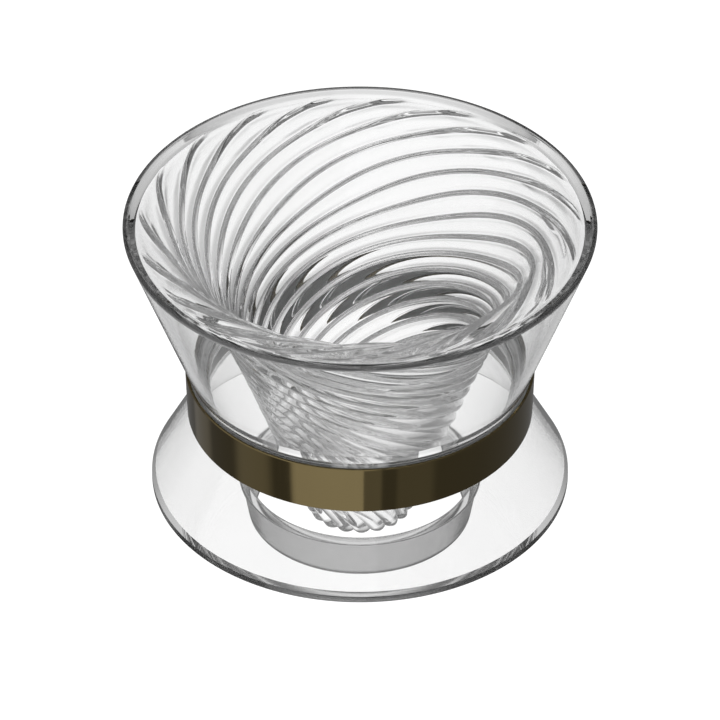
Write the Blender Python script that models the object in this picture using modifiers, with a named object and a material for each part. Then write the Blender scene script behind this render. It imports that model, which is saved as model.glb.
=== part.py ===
"""Pour over coffee dripper, metres, +Z up, origin at the centre of the collar's foot.

A ribbed glass funnel hangs inside a clear conical outer wall; its flange and the
wall are closed at the rim. The wall's lower edge and the flared base meet in a rubber
sleeve at the waist, which a metal trim band covers. The base plate closes the base's
wide end and carries the collar that drops into the mouth of a cup or server.

Every piece is turned about Z. The funnel's wall is also fluted: the flutes wind
round it as they go down. Dimensions are in mm, and become metres as vertices are made.
"""

import math

import bpy
import numpy as np

MM = 0.001

# ---------------------------------------------------------------- shared dimensions

FLUTES = 19                 # flutes round the funnel
SEG = 3 * FLUTES            # facets round each piece, three to a flute

RIM_R = 60.0                # outer radius of the rim
RIM_Z = 91.7                # height of the rim above the collar's foot
RIM_CORNER_WIDTH = 0.6      # bevel round the rim's outer edge
RIM_CORNER_DEPTH = 0.8
LIP_DEPTH = 2.6             # height of the rolled lip
LIP_BOTTOM_Z = RIM_Z - LIP_DEPTH

WALL = 2.0                  # thickness of the outer wall, base skirt and base plate
GAP = 0.15                  # clearance between neighbouring pieces
SEAM_GAP = 0.3              # clearance at the rim seam, and at plate and skirt

BAND_TOP_Z, BAND_BOTTOM_Z = 47.4, 33.8
BAND_TOP_R, BAND_BOTTOM_R = 44.85, 44.35
BAND_THICK = 0.7
BAND_LEAN = (BAND_TOP_R - BAND_BOTTOM_R) / (BAND_TOP_Z - BAND_BOTTOM_Z)

SLEEVE_THICK = 0.6
SLEEVE_TOP_Z = 46.0
SLEEVE_BOTTOM_Z = BAND_BOTTOM_Z + 1.2

JOINT_Z = (BAND_TOP_Z + BAND_BOTTOM_Z) / 2  # middle of the joint between wall and skirt
JOINT_EDGE = 0.7            # from there to the wall's lower and the skirt's upper edge
JOINT_CORNER = 0.5          # height of the bevel on those edges

WALL_WAIST_R = 43.66        # outer wall's outer radius at the band's top edge
WALL_TAPER = (RIM_R - WALL_WAIST_R) / (RIM_Z - RIM_CORNER_DEPTH - BAND_TOP_Z)

SKIRT_FOOT_R = 53.75        # skirt's outer radius where it meets the plate
PLATE_TOP_Z = 13.7


def wall_radius(z):
    """Outer wall's outer radius: a straight cone from the rim to the waist."""
    return RIM_R - WALL_TAPER * (RIM_Z - RIM_CORNER_DEPTH - z)


def sleeve_outer(z):
    """Sleeve's outer radius, clear of the band's sloping inner face."""
    return BAND_TOP_R - BAND_THICK - BAND_LEAN * (BAND_TOP_Z - z) - GAP


def sleeve_inner(z):
    return sleeve_outer(z) - SLEEVE_THICK


# ---------------------------------------------------------------- materials


def material(name, colour, roughness, metallic=0.0, transmission=0.0):
    mat = bpy.data.materials.new(name)
    mat.use_nodes = True
    inputs = mat.node_tree.nodes["Principled BSDF"].inputs
    inputs["Base Color"].default_value = (*colour, 1.0)
    inputs["Roughness"].default_value = roughness
    inputs["Metallic"].default_value = metallic
    inputs["Transmission Weight"].default_value = transmission
    inputs["IOR"].default_value = 1.47
    return mat


def funnel_glass():
    return material("funnel_glass", colour=(0.93, 0.95, 0.95), roughness=0.02, transmission=1.0)


def wall_glass():
    return material("wall_glass", colour=(0.95, 0.97, 0.97), roughness=0.02, transmission=1.0)


def skirt_clear():
    return material("skirt_clear", colour=(0.95, 0.97, 0.96), roughness=0.03, transmission=1.0)


def plate_clear():
    return material("plate_clear", colour=(0.93, 0.95, 0.94), roughness=0.03, transmission=1.0)


def sleeve_silicone():
    return material("sleeve_silicone", colour=(0.55, 0.56, 0.56), roughness=0.55)


def band_bronze():
    return material("band_bronze", colour=(0.16, 0.115, 0.055), roughness=0.28, metallic=1.0)


# ---------------------------------------------------------------- helpers


def clear_scene():
    for obj in list(bpy.data.objects):
        bpy.data.objects.remove(obj, do_unlink=True)


def add_piece(name, points, edges, faces, mat, collection, parent):
    """A new object from points in metres."""
    mesh = bpy.data.meshes.new(name)
    mesh.from_pydata(points, edges, faces)
    mesh.materials.append(mat)
    obj = bpy.data.objects.new(name, mesh)
    collection.objects.link(obj)
    obj.parent = parent
    return obj


def make_real(obj):
    """Replaces the object's mesh by its evaluated one, without modifiers."""
    graph = bpy.context.evaluated_depsgraph_get()
    graph.update()
    mesh = bpy.data.meshes.new_from_object(obj.evaluated_get(graph))
    obj.modifiers.clear()
    old_mesh = obj.data
    obj.data = mesh
    bpy.data.meshes.remove(old_mesh)
    mesh.name = obj.name


def shade(mesh, sharp_degrees):
    """Smooth shading, but for edges that bend more than the given angle."""
    mesh.shade_smooth()
    mesh.set_sharp_from_angle(angle=math.radians(sharp_degrees))


def turned(name, profile, mat, collection, parent):
    """A closed profile of (radius, height), turned round Z.

    The profile runs down its outer side first, from top to bottom."""
    points = [(r * MM, 0.0, z * MM) for r, z in profile]
    count = len(points)
    edges = [(i, (i + 1) % count) for i in range(count)]
    obj = add_piece(name, points, edges, [], mat, collection, parent)
    screw = obj.modifiers.new("turn", "SCREW")
    screw.axis = "Z"
    screw.angle = math.tau
    screw.steps = screw.render_steps = SEG
    screw.use_merge_vertices = True
    screw.merge_threshold = 0.00001
    screw.use_normal_calculate = False
    make_real(obj)
    shade(obj.data, sharp_degrees=35.0)


def smoothstep(x):
    x = min(1.0, max(0.0, x))
    return x * x * (3 - 2 * x)


# ---------------------------------------------------------------- funnel's section
# Depths are measured down from the rim. Lengths are measured along the inner face,
# from FLANGE_R inwards and down.

BEAD_R, BEAD_DEPTH = 58.4, 0.15     # the flange's outer edge, just inside the rim's top
BEAD_WIDTH = 0.5            # from that edge out to the rim's flat top
LIP_INNER_R = 57.0          # inner edge of the lip's underside
FLANGE_R = 57.3             # where the flutes begin, on the flange
FLANGE_DEPTH = 0.75         # the flange's top
SHOULDER = 7.5              # radius of the bend from the flange into the cone
CONE_TOP_R = 50.0           # the cone's inner radius, if carried up to the rim
CONE_SLOPE = 0.346          # its radius lost per mm of depth, low down
FLARE = 8.5                 # extra width near the top
FLARE_DEPTH = 14.0          # depth over which that width falls by a factor e
FUNNEL_DEPTH = 88.6         # the outlet's edge
SHOULDER_STEPS, CONE_STEPS = 30, 400

FUNNEL_WALL = 2.5
FLANGE_WALL = 1.9
THICKENING = 8.0            # length over which the flange's wall becomes the funnel's


def cone_radius(depth):
    return CONE_TOP_R - CONE_SLOPE * depth - FLARE * (1 - math.exp(-depth / FLARE_DEPTH))


def cone_slope(depth):
    return CONE_SLOPE + FLARE / FLARE_DEPTH * math.exp(-depth / FLARE_DEPTH)


def mean_curve():
    """The inner face between crest and valley, from the start of the flutes to the outlet.

    A flat flange, a rounded shoulder and a slightly flared cone, as an array whose columns
    are length, radius, depth, and the outward normal's radius and depth."""
    # Find the depth where the shoulder's arc meets the cone at the cone's own slope.
    depth = FLANGE_DEPTH
    for _ in range(30):
        turn = math.atan2(1.0, cone_slope(depth))
        depth = FLANGE_DEPTH + SHOULDER * (1 - math.cos(turn))
    centre_r = cone_radius(depth) + SHOULDER * math.sin(turn)

    points = [(FLANGE_R, FLANGE_DEPTH, 0.0, 1.0)]
    for i in range(SHOULDER_STEPS + 1):
        angle = turn * i / SHOULDER_STEPS
        across, down = math.sin(angle), math.cos(angle)
        points.append((centre_r - SHOULDER * across,
                       FLANGE_DEPTH + SHOULDER * (1 - down), across, down))
    for i in range(1, CONE_STEPS + 1):
        cone_depth = depth + (FUNNEL_DEPTH - depth) * i / CONE_STEPS
        slope = cone_slope(cone_depth)
        size = math.hypot(1.0, slope)
        points.append((cone_radius(cone_depth), cone_depth, 1.0 / size, slope / size))

    points = np.array(points)
    steps = np.hypot(np.diff(points[:, 0]), np.diff(points[:, 1]))
    lengths = np.concatenate(([0.0], np.cumsum(steps)))
    return np.column_stack((lengths, points))


def curve_point(curve, length):
    """Radius, depth and normal at a length, interpolated."""
    return [float(np.interp(length, curve[:, 0], column)) for column in curve[:, 1:].T]


def wall_thickness(length):
    return FLANGE_WALL + (FUNNEL_WALL - FLANGE_WALL) * smoothstep(length / THICKENING)


# ---------------------------------------------------------------- flutes

FLUTE_AZIMUTH = 1.1         # degrees added to the twist of every ring
FLUTE_RELIEF = 1.2          # crest to valley
FLUTE_ROUNDNESS = 0.8       # exponent of the lobes; less makes them blunter
FLUTE_MEAN = 0.6            # share of the relief below the mean curve
FLUTE_RISE = 2.6            # length over which the flutes reach full relief
OUTER_START, INNER_START = 0.7, 0.3         # lengths where they begin, on each face

TWIST_FLANGE = 2.7          # degrees of twist per mm along the flange
TWIST_CONE = 3.7            # and per mm down the cone
TWIST_BEND = 11.0           # length along the wall where one gives way to the other
TWIST_BEND_SPAN = 0.7       # how gradually it does so
TWIST_KNEE = 110.0          # length where the twist has fallen to half
TWIST_FALL = 5              # how sharply it falls there
LAG, LAG_AT, LAG_SPAN = 12.0, 34.0, 12.0    # degrees the flutes lag, and where

FIRST_RING = 0.75           # length of the first fluted ring
TWIST_STEP = 15.0           # degrees of twist between two rings of vertices
RING_SPACING = 10.0         # greatest length between them, before fitting


def twist_rate(length):
    """Degrees of twist per mm, without the lag."""
    bend = 1.0 / (1.0 + math.exp(-(length - TWIST_BEND) / TWIST_BEND_SPAN))
    rate = TWIST_FLANGE + (TWIST_CONE - TWIST_FLANGE) * bend
    return rate / (1.0 + (length / TWIST_KNEE) ** TWIST_FALL)


def twist(length, steps=300):
    """Angle in degrees through which a flute has turned at this length."""
    step = length / steps
    wound = sum(step * twist_rate((i + 0.5) * step) for i in range(steps))
    return wound - LAG * math.exp(-((length - LAG_AT) / LAG_SPAN) ** 2)


def ring_lengths(start, end):
    """Lengths with about equal twist between neighbours, scaled to finish at the end."""
    lengths = [start]
    while lengths[-1] < end:
        last = lengths[-1]
        lengths.append(last + min(TWIST_STEP / twist_rate(last), RING_SPACING))
    scale = (end - start) / (lengths[-1] - start)
    return [start + (length - start) * scale for length in lengths]


def flute(column, length, start):
    """Offset along the wall's normal: round lobes that meet in a narrow valley."""
    phase = math.radians(column) * FLUTES / 2.0
    lobe = abs(math.sin(phase)) ** FLUTE_ROUNDNESS - FLUTE_MEAN
    return FLUTE_RELIEF * smoothstep((length - start) / FLUTE_RISE) * lobe


# ---------------------------------------------------------------- funnel

COLUMNS = [360.0 * i / SEG for i in range(SEG)]     # azimuths before twisting, degrees


def ring(section, length):
    """One ring of points in metres, from a (radius, height) for each column."""
    wound = FLUTE_AZIMUTH + twist(length)
    points = []
    for column, (radius, height) in zip(COLUMNS, section):
        azimuth = math.radians(column + wound)
        points.append((radius * math.cos(azimuth) * MM,
                       radius * math.sin(azimuth) * MM,
                       height * MM))
    return points


def plain_ring(radius, height):
    return ring([(radius, height)] * SEG, 0.0)


def fluted_ring(curve, length, start, thickness):
    """A ring at a length of the curve, offset outwards by the flutes and the thickness."""
    mean_r, mean_depth, normal_r, normal_depth = curve_point(curve, length)
    section = []
    for column in COLUMNS:
        offset = flute(column, length, start) + thickness
        section.append((mean_r + normal_r * offset,
                        RIM_Z - mean_depth - normal_depth * offset))
    return ring(section, length)


def build_funnel(collection, parent):
    """Rings of vertices round a closed profile: lip, outer face, inner face back up.

    Each column of vertices follows a flute, and the flutes are pressed into both
    faces of the wall along its normal."""
    curve = mean_curve()
    lengths = ring_lengths(FIRST_RING, float(curve[-1, 0]))
    rings = [
        plain_ring(BEAD_R + BEAD_WIDTH, RIM_Z),
        plain_ring(RIM_R - RIM_CORNER_WIDTH, RIM_Z),
        plain_ring(RIM_R, RIM_Z - RIM_CORNER_DEPTH),
        plain_ring(wall_radius(LIP_BOTTOM_Z), LIP_BOTTOM_Z),
        plain_ring(LIP_INNER_R, LIP_BOTTOM_Z),
    ]
    rings += [fluted_ring(curve, s, OUTER_START, wall_thickness(s)) for s in lengths]
    rings += [fluted_ring(curve, s, INNER_START, 0.0) for s in reversed(lengths)]
    rings.append(plain_ring(BEAD_R, RIM_Z - BEAD_DEPTH))

    points = [point for ring_points in rings for point in ring_points]
    faces = []
    for k in range(len(rings)):
        this_ring = k * SEG
        next_ring = (k + 1) % len(rings) * SEG
        for i in range(SEG):
            j = (i + 1) % SEG
            faces.append((this_ring + i, next_ring + i, next_ring + j, this_ring + j))
    funnel = add_piece("inner_funnel", points, [], faces, funnel_glass(), collection, parent)
    funnel.data.update()
    shade(funnel.data, sharp_degrees=40.0)


# ---------------------------------------------------------------- turned pieces


def build_outer_wall(collection, parent):
    """A straight cone that runs in behind the band and ends in a thickened bead."""
    top_z = LIP_BOTTOM_Z - SEAM_GAP
    edge_z = JOINT_Z + JOINT_EDGE
    thick = WALL * math.hypot(1.0, WALL_TAPER)      # measured level, not square to the cone
    bead_r = sleeve_inner(BAND_TOP_Z) - GAP - 0.25
    profile = [
        (wall_radius(top_z), top_z),
        (wall_radius(47.0), 47.0),
        # bead: outer side, lower edge, inner side
        (bead_r + 0.15, 45.4),
        (bead_r - 0.1, edge_z + JOINT_CORNER),
        (bead_r - 0.7, edge_z),
        (bead_r - 3.2, edge_z),
        (bead_r - 3.8, edge_z + 1.9),
        # inner face, easing from the bead into the cone
        (wall_radius(49.0) - thick - 0.5, 48.4),
        (wall_radius(51.5) - thick, 51.5),
        (wall_radius(top_z) - thick, top_z),
    ]
    turned("outer_wall", profile, wall_glass(), collection, parent)


def build_trim_band(collection, parent):
    """A thin metal ring, very slightly narrower at its lower edge."""
    corner_width, corner_height = 0.2, 0.25
    profile = [
        (BAND_TOP_R - corner_width, BAND_TOP_Z),
        (BAND_TOP_R, BAND_TOP_Z - corner_height),
        (BAND_BOTTOM_R, BAND_BOTTOM_Z + corner_height),
        (BAND_BOTTOM_R - corner_width, BAND_BOTTOM_Z),
        (BAND_BOTTOM_R - BAND_THICK, BAND_BOTTOM_Z),
        (BAND_TOP_R - BAND_THICK, BAND_TOP_Z),
    ]
    turned("trim_band", profile, band_bronze(), collection, parent)


def build_joint_sleeve(collection, parent):
    """A T in section. Its web lies between the edges of wall and skirt."""
    web_half_height = 0.4
    web_root_r = sleeve_inner(JOINT_Z)
    web_tip_r = web_root_r - 2.6
    profile = [
        (sleeve_outer(SLEEVE_TOP_Z), SLEEVE_TOP_Z),
        (sleeve_outer(SLEEVE_BOTTOM_Z), SLEEVE_BOTTOM_Z),
        (sleeve_inner(SLEEVE_BOTTOM_Z), SLEEVE_BOTTOM_Z),
        (web_root_r, JOINT_Z - web_half_height),
        (web_tip_r, JOINT_Z - web_half_height),
        (web_tip_r, JOINT_Z + web_half_height),
        (web_root_r, JOINT_Z + web_half_height),
        (sleeve_inner(SLEEVE_TOP_Z), SLEEVE_TOP_Z),
    ]
    turned("joint_sleeve", profile, sleeve_silicone(), collection, parent)


def build_base_skirt(collection, parent):
    """A short neck inside the sleeve, then a straight flare."""
    edge_z = JOINT_Z - JOINT_EDGE
    bore_r = sleeve_inner(SLEEVE_BOTTOM_Z) - GAP    # largest radius that clears the sleeve
    neck_r = bore_r - 0.05
    neck_inner_r = bore_r - WALL - 0.3
    flare_top_r = bore_r + 0.25
    flare = (SKIRT_FOOT_R - flare_top_r) / (BAND_BOTTOM_Z - PLATE_TOP_Z)
    thick = WALL * math.hypot(1.0, flare)           # measured level
    foot_z = PLATE_TOP_Z + SEAM_GAP
    foot_r = SKIRT_FOOT_R - flare * SEAM_GAP
    profile = [
        (bore_r - 0.4, edge_z),
        (neck_r, edge_z - JOINT_CORNER),
        (neck_r, BAND_BOTTOM_Z + 1.4),
        (flare_top_r, BAND_BOTTOM_Z),
        (foot_r, foot_z),
        (foot_r - thick, foot_z),
        (flare_top_r - thick, BAND_BOTTOM_Z + 0.4),
        (neck_inner_r, BAND_BOTTOM_Z + 3.0),
        (neck_inner_r, edge_z),
    ]
    turned("base_skirt", profile, skirt_clear(), collection, parent)


def build_base_plate(collection, parent):
    """An annular disc under the skirt, with the locating collar."""
    bottom_z = PLATE_TOP_Z - WALL
    top_corner, bottom_corner = 0.3, 0.4
    root_r, root_corner = 30.6, 0.8         # collar's outer side, under the plate
    foot_r, foot_corner_z = 28.75, 0.7      # collar's outer side, at its foot
    profile = [
        (SKIRT_FOOT_R - top_corner, PLATE_TOP_Z),
        (SKIRT_FOOT_R, PLATE_TOP_Z - top_corner),
        (SKIRT_FOOT_R, bottom_z + bottom_corner),
        (SKIRT_FOOT_R - bottom_corner, bottom_z),
        (root_r + root_corner, bottom_z),
        (root_r, bottom_z - root_corner),
        (foot_r, foot_corner_z),
        (foot_r - 0.5, 0.0),
        (foot_r - 1.5, 0.0),
        (foot_r - 2.0, foot_corner_z),
        (root_r - 1.9, PLATE_TOP_Z - 1.0),
        (root_r - 1.1, PLATE_TOP_Z),
    ]
    turned("base_plate", profile, plate_clear(), collection, parent)


def main():
    clear_scene()
    collection = bpy.data.collections.new("pour_over_dripper")
    bpy.context.scene.collection.children.link(collection)
    root = bpy.data.objects.new("dripper", None)
    collection.objects.link(root)
    for build in (build_funnel, build_outer_wall, build_trim_band,
                  build_joint_sleeve, build_base_skirt, build_base_plate):
        build(collection, root)


main()
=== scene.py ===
"""Looks for a pour over dripper: a fluted glass funnel in a glass wall on a flared base.

The dripper stands on z = 0, turned about the Z axis. The scene is in metres, +Z up;
lengths in this script are in millimetres, unless they say otherwise, until
make_object scales them. Every CAD node gets one visual piece of the same shape.
"""

import math

import bpy
import numpy as np
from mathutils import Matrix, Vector


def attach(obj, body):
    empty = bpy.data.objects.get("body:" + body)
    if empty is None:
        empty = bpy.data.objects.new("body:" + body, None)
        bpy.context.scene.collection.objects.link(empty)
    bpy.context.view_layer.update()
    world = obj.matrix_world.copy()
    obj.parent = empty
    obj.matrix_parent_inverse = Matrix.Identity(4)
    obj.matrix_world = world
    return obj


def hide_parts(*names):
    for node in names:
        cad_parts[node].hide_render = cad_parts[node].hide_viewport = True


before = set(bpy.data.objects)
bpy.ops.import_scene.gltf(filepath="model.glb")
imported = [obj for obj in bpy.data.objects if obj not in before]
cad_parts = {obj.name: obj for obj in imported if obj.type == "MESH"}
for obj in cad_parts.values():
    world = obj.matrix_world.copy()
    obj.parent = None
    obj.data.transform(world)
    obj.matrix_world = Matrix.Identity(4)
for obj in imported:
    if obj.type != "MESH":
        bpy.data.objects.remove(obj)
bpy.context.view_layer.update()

MM = 0.001                  # metres
DEGREES = 180 / math.pi     # per radian

# ---------------------------------------------------------------- dimensions
# Rim of the funnel. A depth is measured down from RIM_Z.
RIM_R, RIM_Z, LIP_DEPTH = 60.0, 91.7, 2.6
BEAD_R, BEAD_DEPTH = 58.4, 0.15
FLANGE_R, FLANGE_DEPTH, SHOULDER = 57.3, 0.75, 7.5   # SHOULDER is a bend radius

# Funnel cone: a straight slope that flares out towards the top
CONE_TOP_R, CONE_SLOPE = 50.0, 0.346
FLARE, FLARE_DEPTH = 8.5, 14.0
FUNNEL_WALL, FLANGE_WALL = 2.5, 1.9
FLANGE_SPAN = 8.0           # arc over which the flange thickens to the funnel wall
FUNNEL_DEPTH = 88.6
OUTLET_ROUND = 0.9

# Flutes. Angles in degrees, twist rates in degrees per mm of arc.
FLUTES, FLUTE_START, FLUTE_RELIEF = 19, 1.1, 1.2
FLUTE_FADE = 2.6            # arc over which the relief grows from nothing
INNER_FLUTES_AT, OUTER_FLUTES_AT = 0.3, 0.7          # arc where the relief begins
RIB_INNER = 2.1             # from the rib's crest to 1/e of its height
TWIST_FLANGE, TWIST_CONE = 2.7, 3.7
TWIST_STEP_AT, TWIST_STEP_SPAN = 11.0, 0.7           # the change between the two
TWIST_KNEE, TWIST_FALL = 110.0, 5                    # the slowing towards the outlet
LAG, LAG_AT, LAG_SPAN = 12.0, 34.0, 12.0             # a local lag behind the twist

# Outer wall, band, sleeve, skirt and plate
WALL_RIM_Z = RIM_Z - 0.8    # where the wall's slope reaches RIM_R
WALL_WAIST_R = 43.66
WALL_ACROSS = 2.136         # wall thickness measured horizontally
BAND_TOP_Z, BAND_BOTTOM_Z = 47.4, 33.8
BAND_TOP_R, BAND_BOTTOM_R, BAND_THICK = 44.85, 44.35, 0.7
GAP = 0.15                  # clearance on either side of the sleeve
SLEEVE_THICK, SLEEVE_TOP_Z, SLEEVE_BOTTOM_Z = 0.6, 46.0, BAND_BOTTOM_Z + 1.2
WEB_REACH, WEB_HALF = 2.6, 0.4                       # sleeve's ring between the glasses
JOINT_Z = 40.6
SKIRT_FOOT_R, SKIRT_WALL = 53.75, 2.0
PLATE_TOP_Z, PLATE_Z = 13.7, 11.7
COLLAR_ROOT_R, COLLAR_FOOT_R = 30.6, 28.75
SEAM = 0.02                 # what is left open between two fused glass faces

# Mesh density
AROUND = 256                # columns round a turned piece
RING_STEP, RING_TURN = 0.8, 2.8   # most arc and most degrees of twist between rings

# Material slots on a piece
BODY, FUSED = 0, 1
# slot for the funnel rim's painted shade: near-black glass standing in for the dark edge line
RIM_SHADE_SLOT = 2                # funnel
# the plate's edge slot carries painted shade: near-black glass for its dark edge line
COLLAR, PLATE_SHADE_SLOT = 2, 3   # base plate


def wall_radius(z):
    taper = (RIM_R - WALL_WAIST_R) / (WALL_RIM_Z - BAND_TOP_Z)
    return RIM_R - taper * (WALL_RIM_Z - z)


def band_inner(z):
    lean = (BAND_TOP_R - BAND_BOTTOM_R) / (BAND_TOP_Z - BAND_BOTTOM_Z)
    return BAND_TOP_R - BAND_THICK - lean * (BAND_TOP_Z - z)


def sleeve_outer(z):
    return band_inner(z) - GAP


def sleeve_inner(z):
    return sleeve_outer(z) - SLEEVE_THICK


# ---------------------------------------------------------------- mesh tools
STRAIGHT = math.radians(0.3)      # a corner that turns less than this stays sharp
MAX_CUT = 0.47                    # most of a side that one rounding may take


def rounded(corners, steps=6):
    """Rounds the corners of a closed profile, with steps to a right angle.

    corners: (radius, height, rounding, slot), clockwise, so that the outside is on
    the left; the slot is the material of the side that leaves the corner. Returns
    one (r, z, normal in, normal out, slot) per point."""
    out = []
    points = [np.array(corner[:2], float) for corner in corners]
    for i, (_, _, rounding, slot) in enumerate(corners):
        last, here, following = points[i - 1], points[i], points[(i + 1) % len(points)]
        length_in = np.linalg.norm(here - last)
        length_out = np.linalg.norm(following - here)
        dir_in, dir_out = (here - last) / length_in, (following - here) / length_out
        normal_in = np.array((-dir_in[1], dir_in[0]))
        normal_out = np.array((-dir_out[1], dir_out[0]))
        turn = math.atan2(dir_in[0] * dir_out[1] - dir_in[1] * dir_out[0],
                          float(dir_in @ dir_out))
        if abs(turn) < STRAIGHT or rounding <= 0:
            out.append((here[0], here[1], normal_in, normal_out, slot))
            continue
        half_tan = math.tan(abs(turn) / 2)
        cut = min(rounding * half_tan, length_in * MAX_CUT, length_out * MAX_CUT)
        radius = cut / half_tan
        sign = 1.0 if turn < 0 else -1.0      # convex corners turn right
        centre = here - dir_in * cut - normal_in * radius * sign
        count = max(2, int(math.ceil(steps * abs(turn) / (math.pi / 2))))
        for k in range(count + 1):
            c, s = math.cos(turn * k / count), math.sin(turn * k / count)
            normal = np.array((normal_in[0] * c - normal_in[1] * s,
                               normal_in[0] * s + normal_in[1] * c))
            r, z = centre + normal * radius * sign
            out.append((r, z, normal, normal, slot if k == count else corners[i - 1][3]))
    return out


def revolve(profile, angles):
    """Turns rounded profile points into rings for make_object."""
    cos, sin = np.cos(angles), np.sin(angles)

    def spin(r, z):
        return np.stack([r * cos, r * sin, np.full(len(angles), z)], 1)

    return [(spin(r, z), spin(*normal_in), spin(*normal_out), slot)
            for r, z, normal_in, normal_out, slot in profile]


def make_object(name, rings, mats):
    """Joins a closed loop of rings: (points in mm, normals in, normals out, slot)."""
    n = len(rings[0][0])
    j = np.arange(n)
    k = (j + 1) % n
    faces, normals, material = [], [], []
    for i, (_, _, top, slot) in enumerate(rings):
        m = (i + 1) % len(rings)
        low = rings[m][1]
        faces.append(np.stack([i * n + j, m * n + j, m * n + k, i * n + k], 1))
        normals.append(np.stack([top[j], low[j], low[k], top[k]], 1))
        material += [slot] * n
    verts = np.concatenate([ring[0] for ring in rings]) * MM
    faces = np.concatenate(faces)
    mesh = bpy.data.meshes.new(name)
    mesh.from_pydata(verts.tolist(), [], faces.tolist())
    for mat in mats:
        mesh.materials.append(mat)
    mesh.polygons.foreach_set("material_index", np.asarray(material, np.int32))
    mesh.polygons.foreach_set("use_smooth", np.ones(len(faces), bool))
    mesh.update()
    mesh.normals_split_custom_set(np.concatenate(normals).reshape(-1, 3).tolist())
    obj = bpy.data.objects.new(name, mesh)
    bpy.context.scene.collection.objects.link(obj)
    return obj


def turned(name, corners, mats, steps=6):
    angles = np.arange(AROUND) * math.tau / AROUND
    return make_object(name, revolve(rounded(corners, steps), angles), mats)


# ---------------------------------------------------------------- funnel shape


def cone_radius(depth):
    return CONE_TOP_R - CONE_SLOPE * depth - FLARE * (1 - np.exp(-depth / FLARE_DEPTH))


def mean_curve():
    """The inner face's mean profile: flange, shoulder, cone.

    Returns the arc length from FLANGE_R, and rows of radius, depth, normal radius and
    normal depth. The normal points out of the funnel, away from the axis."""
    depth = FLANGE_DEPTH
    for _ in range(30):     # settles on the depth where shoulder and cone are tangent
        slope = CONE_SLOPE + FLARE / FLARE_DEPTH * math.exp(-depth / FLARE_DEPTH)
        turn = math.atan2(1.0, slope)
        depth = FLANGE_DEPTH + SHOULDER * (1 - math.cos(turn))
    centre = float(cone_radius(depth)) + SHOULDER * math.sin(turn)
    lead = 1.0              # the curve starts this far outside FLANGE_R
    phi = np.linspace(0, turn, 60)
    down = np.linspace(depth, FUNNEL_DEPTH + 3.0, 2400)
    r = np.concatenate([np.linspace(FLANGE_R + lead, centre, 80)[:-1],
                        centre - SHOULDER * np.sin(phi), cone_radius(down[1:])])
    d = np.concatenate([np.full(79, FLANGE_DEPTH),
                        FLANGE_DEPTH + SHOULDER * (1 - np.cos(phi)), down[1:]])
    arc = np.concatenate([[0], np.cumsum(np.hypot(np.diff(r), np.diff(d)))]) - lead
    normal_r, normal_d = np.gradient(d, arc), -np.gradient(r, arc)
    size = np.hypot(normal_r, normal_d)
    return arc, (r, d, normal_r / size, normal_d / size)


CURVE_ARC, CURVE = mean_curve()
CONE_FROM = 200             # a curve point on the cone, where depth rises steadily
END = float(np.interp(FUNNEL_DEPTH - OUTLET_ROUND, CURVE[1][CONE_FROM:],
                      CURVE_ARC[CONE_FROM:]))

# How far a flute has turned, in degrees, by arc length down the profile
TWIST_ARC = np.linspace(0.0, 115.0, 4601)
ARC_STEP = 0.025
TWIST_RATE = ((TWIST_FLANGE + (TWIST_CONE - TWIST_FLANGE)
               / (1 + np.exp(-(TWIST_ARC - TWIST_STEP_AT) / TWIST_STEP_SPAN)))
              / (1.0 + (TWIST_ARC / TWIST_KNEE) ** TWIST_FALL))
TWIST = (np.concatenate([[0.0], np.cumsum((TWIST_RATE[1:] + TWIST_RATE[:-1]) / 2 * ARC_STEP)])
         - LAG * np.exp(-((TWIST_ARC - LAG_AT) / LAG_SPAN) ** 2))


def flute_angle(arc, column):
    """Angle in radians of a column that lies column degrees from the first ridge."""
    return np.radians(column + FLUTE_START + np.interp(arc, TWIST_ARC, TWIST))


def smoothstep(x):
    x = np.clip(x, 0.0, 1.0)
    return x * x * (3 - 2 * x)


def from_ridge(column):
    """Degrees to the nearest ridge, signed."""
    half = 180.0 / FLUTES
    return (column + half) % (2 * half) - half


def relief(arc, start):
    return FLUTE_RELIEF * smoothstep((arc - start) / FLUTE_FADE)


def inner_flute(column, arc):
    """Rounded ribs that stand inwards."""
    rib = np.exp(-(from_ridge(column) / RIB_INNER) ** 2)
    return relief(arc, INNER_FLUTES_AT) * (0.29 - 0.89 * rib)


def outer_flute(column, arc):
    """Round lobes that meet in a narrow valley behind each rib."""
    lobe = np.abs(np.sin(np.radians(from_ridge(column)) * FLUTES / 2)) ** 0.8
    return relief(arc, OUTER_FLUTES_AT) * (lobe - 0.6)


def place(arc, offset, column):
    """The point that lies offset along the normal from the mean curve."""
    r, d, normal_r, normal_d = (np.interp(arc, CURVE_ARC, row) for row in CURVE)
    r, d = r + normal_r * offset, d + normal_d * offset
    angle = flute_angle(arc, column)
    return np.stack([r * np.cos(angle), r * np.sin(angle), RIM_Z - d], -1)


def outer_face(arc, column):
    thinning = (FUNNEL_WALL - FLANGE_WALL) * (1 - smoothstep(arc / FLANGE_SPAN))
    return place(arc, FUNNEL_WALL - thinning + outer_flute(column, arc), column)


def inner_face(arc, column):
    return place(arc, inner_flute(column, arc), column)


def outlet_edge(t, column):
    """Half round from the outer face, t 0, to the inner one, t pi."""
    arc = END + OUTLET_ROUND * np.sin(t)
    offset = FUNNEL_WALL / 2 * (1 + np.cos(t)) + outer_flute(column, arc)
    return place(arc, offset, column)


def formed(surface, values, columns, reach=0.02):
    """Rings of a fluted surface. A negative reach turns the normals over."""
    swing = 0.12            # degrees to either side for the normals
    rings = []
    for value in values:
        t = np.full(len(columns), float(value))
        along = surface(t + reach, columns) - surface(t - reach, columns)
        across = surface(t, columns + swing) - surface(t, columns - swing)
        normals = np.cross(along, across)
        normals = normals / np.linalg.norm(normals, axis=-1, keepdims=True)
        rings.append((surface(t, columns), normals, normals, BODY))
    return rings


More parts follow.
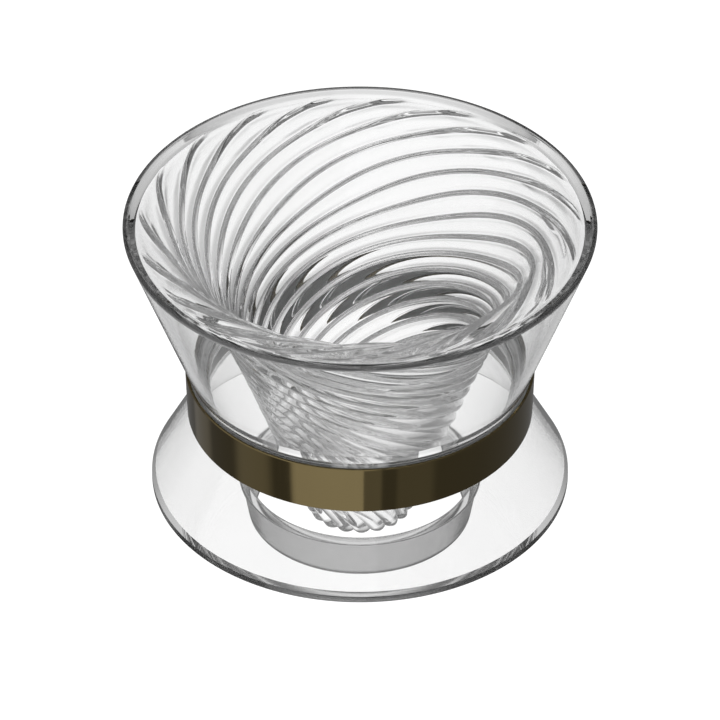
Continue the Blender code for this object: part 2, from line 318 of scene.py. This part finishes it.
def levels(start):
    """Arc lengths of the rings from start to END, closer where the twist is fast."""
    out = [start]
    while out[-1] < END:
        rate = float(np.interp(out[-1], TWIST_ARC, TWIST_RATE))
        out.append(out[-1] + min(RING_STEP, RING_TURN / rate))
    out = np.array(out)
    return start + (out - start) * (END - start) / (out[-1] - start)


# ---------------------------------------------------------------- shader tools


class Net:
    """Adds shader nodes to one node tree."""

    def __init__(self, tree):
        self.tree = tree

    def node(self, kind):
        return self.tree.nodes.new("ShaderNode" + kind)

    def feed(self, socket, value):
        """Links a socket, or sets a number or an RGB tuple."""
        if isinstance(value, bpy.types.NodeSocket):
            self.tree.links.new(value, socket)
        else:
            socket.default_value = (*value, 1) if isinstance(value, tuple) else value

    def math(self, operation, *values):
        node = self.node("Math")
        node.operation = operation
        for socket, value in zip(node.inputs, values):
            self.feed(socket, value)
        return node.outputs[0]

    def mix(self, kind, factor, a, b):
        """Value a where factor is 0 and b where it is 1; kind is FLOAT or RGBA."""
        node = self.node("Mix")
        node.data_type = kind
        self.feed(node.inputs["Factor"], factor)
        self.feed(node.inputs["A"], a)
        self.feed(node.inputs["B"], b)
        return node.outputs["Result"]

    def ramp(self, value, points):
        """An eased curve through (x, y) points, x rising."""
        low, high = points[0][0], points[-1][0]
        t = self.math("DIVIDE", self.math("SUBTRACT", value, low), high - low)
        node = self.node("ValToRGB")
        colours = node.color_ramp
        colours.interpolation = "EASE"
        top = max(1.0, max(y for _, y in points))
        while len(colours.elements) < len(points):
            colours.elements.new(0.5)
        for element, (x, y) in zip(colours.elements, points):
            element.position = (x - low) / (high - low)
            element.color = (y / top, y / top, y / top, 1)
        self.feed(node.inputs["Fac"], t)
        return self.math("MULTIPLY", node.outputs["Color"], top)

    def noise(self, scale, detail, stretch=(1, 1, 1), rough=0.5):
        coords = self.node("TexCoord")
        mapping = self.node("Mapping")
        mapping.inputs["Scale"].default_value = stretch
        texture = self.node("TexNoise")
        texture.inputs["Scale"].default_value = scale
        texture.inputs["Detail"].default_value = detail
        texture.inputs["Roughness"].default_value = rough
        self.feed(mapping.inputs["Vector"], coords.outputs["Object"])
        self.feed(texture.inputs["Vector"], mapping.outputs["Vector"])
        return texture.outputs["Fac"]

    def noise_range(self, value, low, high):
        """Spreads the middle of a noise over low to high."""
        node = self.node("MapRange")
        node.inputs["From Min"].default_value = 0.3
        node.inputs["From Max"].default_value = 0.7
        node.inputs["To Min"].default_value = low
        node.inputs["To Max"].default_value = high
        self.feed(node.inputs["Value"], value)
        return node.outputs["Result"]

    def bump(self, shader, height, strength, distance):
        """Raises the shader's surface by height; distance is in metres."""
        node = self.node("Bump")
        node.inputs["Strength"].default_value = strength
        node.inputs["Distance"].default_value = distance
        self.feed(node.inputs["Height"], height)
        self.feed(shader.inputs["Normal"], node.outputs["Normal"])


def new_material(name):
    mat = bpy.data.materials.new(name)
    mat.use_nodes = True
    return mat, Net(mat.node_tree), mat.node_tree.nodes["Principled BSDF"]


def simple_material(name, kind):
    """A material made of one shader node of the given kind."""
    mat, net, principled = new_material(name)
    net.tree.nodes.remove(principled)
    shader = net.node(kind)
    net.feed(net.tree.nodes["Material Output"].inputs["Surface"], shader.outputs[0])
    return mat, shader


# ---------------------------------------------------------------- materials
GLASS_IOR = 1.47
TRAPPED = 16.5              # bounces after which light caught inside glass leaves it
TRAPPED_TINT = (0.60, 0.60, 0.60)


def glass(name, colour, ripple=10e-6, scale=90.0, haze=0.0):
    """Clear pressed glass, with faint ripples (height in metres) left by the mould.

    Light that total reflection keeps inside goes straight out after TRAPPED bounces,
    as it would in the end at some small fault in the glass."""
    mat, net, shader = new_material(name)
    shader.inputs["Transmission Weight"].default_value = 1.0
    tint = net.noise(scale=40.0, detail=2.0)
    clear = net.mix("RGBA", tint, tuple(x * 0.985 for x in colour), colour)
    path = net.node("LightPath")
    free = net.math("LESS_THAN", path.outputs["Ray Depth"], TRAPPED)
    net.feed(shader.inputs["Base Color"], net.mix("RGBA", free, TRAPPED_TINT, clear))
    shader.inputs["IOR"].default_value = GLASS_IOR
    net.feed(shader.inputs["IOR"], net.math("MULTIPLY_ADD", free, GLASS_IOR - 1.0, 1.0))
    shader.inputs["Roughness"].default_value = haze
    waves = net.noise(scale=scale, detail=1.0)
    net.bump(shader, waves, strength=1.0, distance=ripple)
    return mat


def bronze(name):
    """Dark metal with fine lines that run up and down."""
    mat, net, shader = new_material(name)
    shader.inputs["Metallic"].default_value = 1.0
    lines = net.noise(scale=900.0, detail=4.0, stretch=(1.0, 1.0, 0.03), rough=0.6)
    broad = net.noise(scale=60.0, detail=2.0, stretch=(1.0, 1.0, 0.2))
    colour = net.mix("RGBA", broad, (0.160, 0.122, 0.058), (0.200, 0.158, 0.074))
    net.feed(shader.inputs["Base Color"], colour)
    net.feed(shader.inputs["Roughness"], net.noise_range(lines, low=0.05, high=0.09))
    net.bump(shader, lines, strength=0.35, distance=6e-6)
    return mat


def silicone(name):
    """Pale, matt and finely grained."""
    mat, net, shader = new_material(name)
    grain = net.noise(scale=1400.0, detail=3.0)
    colour = net.mix("RGBA", grain, (0.74, 0.75, 0.75), (0.80, 0.81, 0.81))
    net.feed(shader.inputs["Base Color"], colour)
    net.feed(shader.inputs["Roughness"], net.noise_range(grain, low=0.5, high=0.65))
    net.bump(shader, grain, strength=0.3, distance=2e-5)
    return mat


funnel_mat = glass("funnel_glass", (0.930, 0.930, 0.930), ripple=14e-6, scale=150.0)
wall_mat = glass("wall_glass", (0.960, 0.962, 0.962), ripple=12e-6)
skirt_mat = glass("skirt_clear", (0.968, 0.968, 0.968))
plate_mat = glass("plate_clear", (0.950, 0.950, 0.950))
collar_mat = glass("collar_frosted", (0.46, 0.46, 0.46), haze=0.10)
# painted shade: the funnel's rim is drawn in near-black glass, for the dark line a clear rim
# shows against the bright field
rim_shade_mat = glass("rim_painted_shade", (0.10, 0.10, 0.10))
# painted shade: the plate's edge is drawn in near-black glass, for the dark line a clear
# glass edge shows against the bright field
plate_shade_mat = glass("plate_painted_shade", (0.08, 0.08, 0.08), haze=0.04)
# where two glass faces are fused, light goes straight through
fused_mat, _ = simple_material("fused_seam", "BsdfTransparent")
bronze_mat = bronze("band_bronze")
silicone_mat = silicone("sleeve_silicone")

# ---------------------------------------------------------------- pieces
# Corners are (radius, height, rounding, slot), as rounded() takes them.


def build_funnel():
    """Lip, underside of the flange, outer face down to the outlet, inner face back up."""
    # phases over one flute, 0 to 180, bunched at the ribs
    half = np.array([0.0, 4.0, 9.0, 15.0, 22.0, 31.0, 45.0, 66.0])
    phases = np.concatenate([half, [90.0], 180.0 - half[:0:-1]])
    columns = np.concatenate([(phases + 180.0 * k) * 2 / FLUTES for k in range(FLUTES)])

    lip_z, flange_z = RIM_Z - LIP_DEPTH, RIM_Z - FLANGE_DEPTH
    chamfer_z = RIM_Z - 1.3
    closing_r, lip_inner = 52.0, 56.2     # the lip profile is kept outside lip_inner
    lip = rounded([
        (FLANGE_R - 0.6, flange_z, 4.0, BODY),
        (BEAD_R, RIM_Z - BEAD_DEPTH, 1.0, BODY),
        (BEAD_R + 0.5, RIM_Z, 0.3, BODY),
        # the rim's top and outer round carry the painted shade
        (BEAD_R + 0.75, RIM_Z, 0.0, RIM_SHADE_SLOT),
        (wall_radius(RIM_Z), RIM_Z, 0.8, RIM_SHADE_SLOT),
        (wall_radius(chamfer_z), chamfer_z, 0.0, BODY),
        (wall_radius(lip_z), lip_z, 0.0, FUSED),
        (wall_radius(lip_z) - WALL_ACROSS, lip_z, 0.0, BODY),
        (closing_r, lip_z, 0.0, BODY),
        (closing_r, flange_z, 0.0, BODY),
    ], steps=8)
    rings = revolve([point for point in lip if point[0] > lip_inner],
                    flute_angle(0.0, columns))
    rings += formed(outer_face, levels(0.75), columns)
    rings += formed(outlet_edge, np.linspace(0, math.pi, 9)[1:-1], columns)
    rings += formed(inner_face, levels(1.3)[::-1], columns, reach=-0.02)
    return make_object("funnel_glass_body", rings, [funnel_mat, fused_mat, rim_shade_mat])


def build_outer_wall():
    """Tapered wall whose foot steps in behind the sleeve."""
    top_z = RIM_Z - LIP_DEPTH - SEAM
    foot_r, foot_z = sleeve_inner(BAND_TOP_Z) - GAP - 0.25, JOINT_Z + 1.0
    return turned("outer_wall_body", [
        (wall_radius(top_z), top_z, 0.0, BODY),
        (wall_radius(47.0), 47.0, 1.5, BODY),
        (foot_r + 0.15, 45.4, 1.5, BODY),
        (foot_r - 0.1, foot_z, 0.5, BODY),
        (foot_r - 3.6, foot_z, 1.2, BODY),
        (foot_r - 3.9, JOINT_Z + 3.0, 1.5, BODY),
        (wall_radius(49.0) - WALL_ACROSS - 0.5, 48.4, 3.0, BODY),
        (wall_radius(51.5) - WALL_ACROSS, 51.5, 6.0, BODY),
        (wall_radius(top_z) - WALL_ACROSS, top_z, 0.0, FUSED),
    ], [wall_mat, fused_mat])


def build_band():
    return turned("trim_band_body", [
        (BAND_TOP_R - 0.02, BAND_TOP_Z, 0.22, BODY),
        (BAND_BOTTOM_R + 0.01, BAND_BOTTOM_Z, 0.22, BODY),
        (BAND_BOTTOM_R - BAND_THICK, BAND_BOTTOM_Z, 0.1, BODY),
        (BAND_TOP_R - BAND_THICK, BAND_TOP_Z, 0.1, BODY),
    ], [bronze_mat])


def build_sleeve():
    """Thin sleeve inside the band, with a web that reaches in at the joint."""
    top, low = SLEEVE_TOP_Z, SLEEVE_BOTTOM_Z
    web_r = sleeve_inner(JOINT_Z)
    return turned("joint_sleeve_body", [
        (sleeve_outer(top), top, 0.2, BODY),
        (sleeve_outer(low), low, 0.2, BODY),
        (sleeve_inner(low), low, 0.15, BODY),
        (web_r, JOINT_Z - WEB_HALF, 0.15, BODY),
        (web_r - WEB_REACH, JOINT_Z - WEB_HALF, 0.3, BODY),
        (web_r - WEB_REACH, JOINT_Z + WEB_HALF, 0.3, BODY),
        (web_r, JOINT_Z + WEB_HALF, 0.15, BODY),
        (sleeve_inner(top), top, 0.15, BODY),
    ], [silicone_mat], steps=4)


neck = sleeve_inner(SLEEVE_BOTTOM_Z) - GAP
skirt_top_r = neck + 0.25
skirt_flare = (SKIRT_FOOT_R - skirt_top_r) / (BAND_BOTTOM_Z - PLATE_TOP_Z)
skirt_across = SKIRT_WALL * math.sqrt(1.0 + skirt_flare * skirt_flare)   # horizontal
skirt_foot_r = SKIRT_FOOT_R - skirt_flare * SEAM


def build_skirt():
    """Upright neck over a flared skirt."""
    neck_z, foot_z = JOINT_Z - 0.7, PLATE_TOP_Z + SEAM
    return turned("base_skirt_body", [
        (neck - 0.05, neck_z, 0.5, BODY),
        (neck - 0.05, BAND_BOTTOM_Z + 1.0, 1.5, BODY),
        (skirt_top_r, BAND_BOTTOM_Z, 2.0, BODY),
        (skirt_foot_r, foot_z, 0.0, FUSED),
        (skirt_foot_r - skirt_across, foot_z, 0.0, BODY),
        (skirt_top_r - skirt_across, BAND_BOTTOM_Z + 0.4, 3.0, BODY),
        (neck - 2.3, BAND_BOTTOM_Z + 3.0, 2.0, BODY),
        (neck - 2.3, neck_z, 0.5, BODY),
    ], [skirt_mat, fused_mat])


def build_plate():
    """Flat ring with a collar that runs down to z = 0."""
    # the edge face carries the painted shade
    return turned("base_plate_body", [
        (skirt_foot_r, PLATE_TOP_Z, 0.0, PLATE_SHADE_SLOT),
        (SKIRT_FOOT_R, PLATE_Z, 0.5, BODY),
        (COLLAR_ROOT_R + 0.2, PLATE_Z, 0.9, COLLAR),
        (COLLAR_FOOT_R + 0.05, 0.0, 0.8, COLLAR),
        (COLLAR_FOOT_R - 2.1, 0.0, 0.8, COLLAR),
        (COLLAR_ROOT_R - 1.7, PLATE_TOP_Z, 1.0, BODY),
        (skirt_foot_r - skirt_across, PLATE_TOP_Z, 0.0, FUSED),
    ], [plate_mat, fused_mat, collar_mat, plate_shade_mat])


pieces = [                  # object, CAD node, material slot
    (build_funnel(), "inner_funnel", "funnel_glass"),
    (build_outer_wall(), "outer_wall", "wall_glass"),
    (build_band(), "trim_band", "band_bronze"),
    (build_sleeve(), "joint_sleeve", "sleeve_silicone"),
    (build_skirt(), "base_skirt", "skirt_clear"),
    (build_plate(), "base_plate", "plate_clear"),
]
for obj, node_name, slot_name in pieces:
    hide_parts(node_name)
    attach(obj, "root")

# ---------------------------------------------------------------- camera
ELEVATION = math.radians(37.19)
TARGET = Vector((0, 0, 0.04836))      # metres
DISTANCE = 2.2732                     # metres


def add_camera():
    """Looks down at the dripper from -Y."""
    data = bpy.data.cameras.new("camera")
    data.lens = 443.9
    data.sensor_width = 36.0
    data.clip_end = 50.0
    cam = bpy.data.objects.new("camera", data)
    bpy.context.scene.collection.objects.link(cam)
    cam.location = TARGET + DISTANCE * Vector((0, -math.cos(ELEVATION), math.sin(ELEVATION)))
    cam.rotation_euler = (math.pi / 2 - ELEVATION, 0, 0)
    bpy.context.scene.camera = cam


add_camera()

# ---------------------------------------------------------------- floor and light
# A plain white sweep. The camera sees the floor; what the glass bends and mirrors is
# the studio round it, which is drawn in the world by direction: a bright field
# behind the object as the camera sees it, darker towards the sides.

BACKDROP = 1.15
ROOM = 0.15                 # the unlit part of the studio
DIFFUSE_LIGHT = 0.9         # even soft light on diffuse surfaces
# brightness of what the glass bends, by degrees from the camera's line of sight
FIELD = [(0, BACKDROP), (9, BACKDROP), (20, 0.72), (34, 0.36), (58, 0.22), (92, 0.22),
         (130, 0.50), (165, 0.95), (180, 1.0)]
# the same for light from below, by the height of the direction's unit vector
BENEATH = [(-1.0, 1.10), (-0.93, 1.02), (-0.85, 0.62), (-0.75, 0.12), (-0.6, 0.0)]
# bearing in degrees to the right of straight behind the camera, half the width, how
# soft the edge is, and the brightness
SOFT_BOXES = [
    (-40, 50, 4, 1.0),      # key: one big box on the left
    (30, 20, 10, 0.35),     # fill, right of the camera
    (80, 15, 10, 0.25),     # edge light on the right
    (-110, 10, 10, 0.4),    # two strips behind, on the left
    (-145, 10, 10, 0.3),
]


def build_world():
    world = bpy.data.worlds.new("studio")
    bpy.context.scene.world = world
    world.use_nodes = True
    net = Net(world.node_tree)
    background = net.tree.nodes["Background"]
    background.inputs["Color"].default_value = (1, 1, 1, 1)
    direction = net.node("TexCoord").outputs["Generated"]
    to_camera = net.node("VectorTransform")
    to_camera.vector_type = "VECTOR"
    to_camera.convert_from = "WORLD"
    to_camera.convert_to = "CAMERA"
    net.feed(to_camera.inputs["Vector"], direction)
    view = net.node("SeparateXYZ")
    net.feed(view.inputs["Vector"], to_camera.outputs["Vector"])
    right, ahead = view.outputs["X"], view.outputs["Z"]
    ray = net.node("LightPath").outputs

    # bent light
    angle = net.math("MULTIPLY", net.math("ARCCOSINE", ahead), DEGREES)
    through = net.ramp(angle, FIELD)
    upright = net.node("SeparateXYZ")
    net.feed(upright.inputs["Vector"], direction)
    through = net.math("MAXIMUM", through, net.ramp(upright.outputs["Z"], BENEATH))

    # mirrored light: soft boxes to either side, the room dark between them
    behind = net.math("MULTIPLY", ahead, -1.0)
    side = net.math("MULTIPLY", net.math("ARCTAN2", right, behind), DEGREES)
    mirrored = ROOM
    for bearing, half, edge, level in SOFT_BOXES:
        away = net.math("ABSOLUTE", net.math("SUBTRACT", side, bearing))
        box = net.ramp(away, [(0, level), (half - edge / 2, level), (half + edge / 2, 0.0),
                              (180, 0.0)])
        mirrored = net.math("MAXIMUM", mirrored, box)

    level = net.mix("FLOAT", ray["Is Diffuse Ray"], mirrored, DIFFUSE_LIGHT)
    level = net.mix("FLOAT", ray["Is Transmission Ray"], level, through)
    level = net.mix("FLOAT", ray["Is Camera Ray"], level, BACKDROP)
    net.feed(background.inputs["Strength"], level)


def add_floor():
    """A glowing white disc that only the camera sees, just under the dripper."""
    bpy.ops.mesh.primitive_circle_add(vertices=96, radius=6.0, fill_type="NGON",
                                      location=(0, 0, -0.0004))
    floor = bpy.context.object
    floor.name = "floor"
    mat, emission = simple_material("floor_white", "Emission")
    emission.inputs["Strength"].default_value = BACKDROP
    floor.data.materials.append(mat)
    for kind in ("diffuse", "glossy", "transmission", "volume_scatter", "shadow"):
        setattr(floor, "visible_" + kind, False)


build_world()
add_floor()

scene = bpy.context.scene
scene.view_settings.view_transform = "Standard"
scene.view_settings.look = "None"
scene.cycles.max_bounces = 32
scene.cycles.transmission_bounces = 32
scene.cycles.glossy_bounces = 16
scene.cycles.transparent_max_bounces = 32
